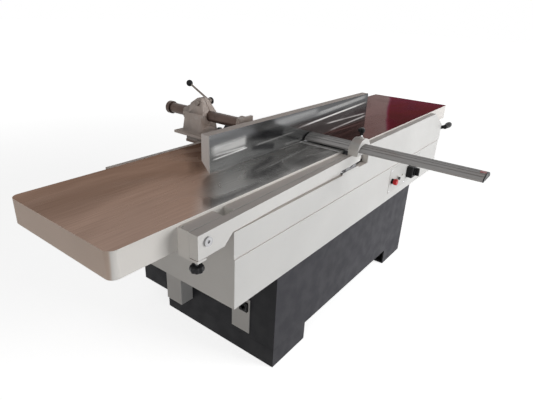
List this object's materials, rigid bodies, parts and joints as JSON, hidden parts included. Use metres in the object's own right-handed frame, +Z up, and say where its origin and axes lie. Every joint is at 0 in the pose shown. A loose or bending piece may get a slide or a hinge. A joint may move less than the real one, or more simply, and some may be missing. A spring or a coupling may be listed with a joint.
{
  "type": "surface planer",
  "caption": "Floor-standing overhand planer with two long tables, toothed lips at a cutter block, tilting fence on a round bar, bridge guard on a hinged arm, and a two-foot cabinet.",
  "frame": {"origin": "on the floor, at the centre of the four anchor holes in the feet", "axes": "+Z up; +X along the feed towards the infeed end, at the operator's right; +Y to the back of the machine, so the operator stands at -Y"},
  "size_m": [2.71, 1.535, 1.1416],
  "materials": {
    "white_paint": "light textured enamel",
    "grey_paint": "satin grey enamel",
    "dark_paint": "anthracite textured enamel",
    "table_iron": "ground top, white painted sides",
    "fence_metal": "ground face, beige painted back",
    "blackened_steel": "blackened steel",
    "cast_paint": "painted casting",
    "machine_steel": "machined steel",
    "tool_steel": "ground tool steel",
    "bright_steel": "bright zinc",
    "iron_castings": "machined casting",
    "motor_grey": "grey enamel on cast aluminium",
    "belt_rubber": "ribbed rubber",
    "galvanised": "galvanised sheet",
    "anodised_aluminium": "grey anodised extrusion",
    "black_plastic": "black moulded",
    "red_plastic": "red moulded",
    "green_plastic": "black moulded",
    "lamp_lens": "clear lens"
  },
  "bodies": {
    "machine_frame": {"base_cabinet": "dark_paint", "base_feet": "dark_paint", "socket_plate": "grey_paint", "power_outlet": "black_plastic", "electrical_box": "grey_paint", "electrical_box_lid": "grey_paint", "cable_gland": "black_plastic", "lower_body": "white_paint", "body_covers": "white_paint", "cutter_supports": "machine_steel", "outfeed_posts": "machine_steel", "outfeed_table": "table_iron", "outfeed_lip": "blackened_steel", "lift_blocks": "machine_steel", "cutter_bearings": "bright_steel", "bearing_housings": "iron_castings", "housing_bolts": "bright_steel", "drive_belts": "belt_rubber", "motor_housing": "motor_grey", "belt_cover": "dark_paint", "dust_chute": "galvanised", "dust_spout": "galvanised", "rear_rail": "cast_paint", "rail_bracket": "blackened_steel", "fence_carriage": "cast_paint", "arm_bracket": "white_paint", "side_strip": "white_paint", "arm_pivot_bolt": "bright_steel", "control_panel": "grey_paint", "stop_button_base": "black_plastic", "pilot_lamp": "lamp_lens", "switch_housing": "black_plastic"},
    "cutter": {"cutter_block": "machine_steel", "cutter_knives": "tool_steel", "cutter_gibs": "machine_steel", "cutter_pulley": "iron_castings"},
    "motor_rotor": {"motor_shaft": "machine_steel", "motor_pulley": "iron_castings"},
    "infeed": {"infeed_table": "table_iron", "infeed_lip": "blackened_steel"},
    "inner_link": {"inner_lift_link": "machine_steel"},
    "outer_link": {"outer_lift_link": "machine_steel"},
    "height_lever": {"height_lever": "bright_steel", "height_lever_grip": "black_plastic"},
    "guard_arm": {"guard_arm": "white_paint", "guard_holder": "white_paint"},
    "arm_height_knob": {"arm_height_knob": "black_plastic"},
    "bridge_guard": {"guard_beam": "anodised_aluminium", "guard_end_caps": "black_plastic"},
    "guard_clamp_knob": {"guard_clamp_knob": "black_plastic"},
    "fence_slide": {"fence_bar": "blackened_steel", "fence_bracket": "cast_paint", "fence_hinge_pin": "bright_steel"},
    "fence": {"fence": "fence_metal"},
    "fence_clamp": {"clamp_lever": "bright_steel", "clamp_lever_ball": "black_plastic"},
    "carriage_knob": {"carriage_knob": "black_plastic"},
    "stop_button": {"stop_button": "red_plastic"},
    "start_button": {"start_button": "green_plastic"},
    "main_switch": {"main_switch_knob": "black_plastic"}
  },
  "joints": [
    {"name": "cutter_spin", "type": "hinge", "parent": "machine_frame", "child": "cutter", "pos_m": [-0.095, 0, 0.84], "axis": [0, 1, 0], "continuous": true},
    {"name": "motor_spin", "type": "hinge", "parent": "machine_frame", "child": "motor_rotor", "pos_m": [-0.345, 0.2, 0.3], "axis": [0, 1, 0], "continuous": true},
    {"name": "infeed_lift", "type": "slide", "parent": "machine_frame", "child": "infeed", "axis": [0.7071, 0, -0.7071], "range_m": [0, 0.01131]},
    {"name": "inner_link_swing", "type": "hinge", "parent": "machine_frame", "child": "inner_link", "pos_m": [0.25, 0, 0.6954], "axis": [0, 1, 0], "range_deg": [0, 6.6]},
    {"name": "outer_link_swing", "type": "hinge", "parent": "machine_frame", "child": "outer_link", "pos_m": [1, 0, 0.6954], "axis": [0, 1, 0], "range_deg": [0, 6.6]},
    {"name": "height_lever_swing", "type": "hinge", "parent": "machine_frame", "child": "height_lever", "pos_m": [1.2153, -0.2, 0.745], "axis": [1, 0, 0], "range_deg": [0, 60.5]},
    {"name": "guard_arm_raise", "type": "hinge", "parent": "machine_frame", "child": "guard_arm", "pos_m": [-1.09, -0.34, 0.859], "axis": [0, -1, 0], "range_deg": [0, 4.5]},
    {"name": "arm_height_knob_turn", "type": "hinge", "parent": "guard_arm", "child": "arm_height_knob", "pos_m": [-1.115, -0.335, 0.77], "axis": [0, 0, 1], "range_deg": [0, 362]},
    {"name": "guard_slide", "type": "slide", "parent": "guard_arm", "child": "bridge_guard", "axis": [0, 1, 0], "range_m": [-0.23, 0]},
    {"name": "guard_clamp_turn", "type": "hinge", "parent": "guard_arm", "child": "guard_clamp_knob", "pos_m": [-0.085, -0.325, 0.995], "axis": [0, 0, 1], "range_deg": [-180, 0]},
    {"name": "fence_slide", "type": "slide", "parent": "machine_frame", "child": "fence_slide", "axis": [0, 1, 0], "range_m": [-0.003, 0.14]},
    {"name": "fence_tilt", "type": "hinge", "parent": "fence_slide", "child": "fence", "pos_m": [-0.4, -0.03, 0.9076], "axis": [-1, 0, 0], "range_deg": [0, 45]},
    {"name": "fence_clamp_swing", "type": "hinge", "parent": "machine_frame", "child": "fence_clamp", "pos_m": [-0.355, 0.357, 1.059], "axis": [1, 0, 0], "range_deg": [0, 60]},
    {"name": "carriage_knob_turn", "type": "hinge", "parent": "machine_frame", "child": "carriage_knob", "pos_m": [-0.325, 0.32, 0.925], "axis": [0, 0, 1], "range_deg": [-180, 180]},
    {"name": "stop_button_press", "type": "slide", "parent": "machine_frame", "child": "stop_button", "axis": [0, 1, 0], "range_m": [0, 0.004], "stiffness_N_per_m": 1500},
    {"name": "start_button_press", "type": "slide", "parent": "machine_frame", "child": "start_button", "axis": [0, 1, 0], "range_m": [0, 0.003], "stiffness_N_per_m": 800},
    {"name": "main_switch_turn", "type": "hinge", "parent": "machine_frame", "child": "main_switch", "pos_m": [0.69, -0.35, 0.599], "axis": [0, 1, 0], "range_deg": [0, 120]}
  ],
  "couplings": [
    {"joint": "motor_spin", "follows": "cutter_spin", "ratio": 0.57692},
    {"joint": "inner_link_swing", "follows": "infeed_lift", "rad_per_m": 10.005},
    {"joint": "outer_link_swing", "follows": "infeed_lift", "rad_per_m": 10.005},
    {"joint": "height_lever_swing", "follows": "infeed_lift", "rad_per_m": 92.56},
    {"joint": "arm_height_knob_turn", "follows": "guard_arm_raise", "ratio": 80}
  ]
}
